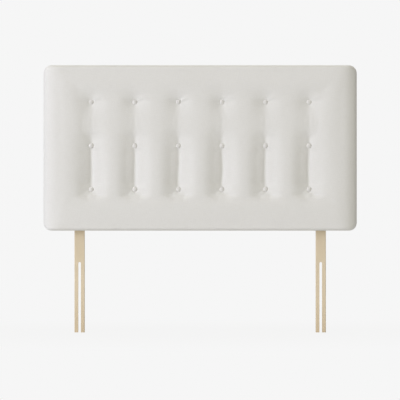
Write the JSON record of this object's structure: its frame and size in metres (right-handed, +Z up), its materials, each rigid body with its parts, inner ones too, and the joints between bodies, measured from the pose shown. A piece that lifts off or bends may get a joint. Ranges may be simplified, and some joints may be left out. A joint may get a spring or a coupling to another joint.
{
  "type": "headboard",
  "caption": "Padded fabric headboard with vertical button-tufted lines, bolted to two softwood struts with open-ended bed-bolt slots.",
  "frame": {"origin": "midway between the two struts, at their feet, in the plane of their front faces, which is bolted against the end of a bed base", "axes": "+X to the right as seen from the padded front, -Y out of the padded front, +Y towards the wall, +Z up"},
  "size_m": [1.35, 0.1119, 1.152],
  "materials": {
    "cover_fabric": "matte",
    "softwood": "matte",
    "fibreboard": "matte",
    "foam": "matte",
    "polyester": "matte",
    "dust_cloth": "matte",
    "twine": "matte",
    "nylon": "satin",
    "zinc_steel": "satin",
    "button_metal": "satin"
  },
  "bodies": {
    "root": {"cover": "cover_fabric", "button_caps": "cover_fabric", "left_strut": "softwood", "right_strut": "softwood", "top_rail": "softwood", "bottom_rail": "softwood", "left_stile": "softwood", "right_stile": "softwood", "centre_stile": "softwood", "left_strut_rail": "softwood", "right_strut_rail": "softwood", "corner_blocks": "softwood", "front_board": "fibreboard", "foam_pad": "foam", "wadding": "polyester", "back_lining": "dust_cloth", "button_ties": "twine", "tie_toggles": "nylon", "strut_bolts": "zinc_steel", "strut_washers": "zinc_steel", "tee_nuts": "zinc_steel", "frame_screws": "zinc_steel", "board_pins": "zinc_steel", "cover_staples": "zinc_steel", "lining_staples": "zinc_steel", "button_backs": "zinc_steel", "button_shells": "button_metal"}
  },
  "joints": []
}
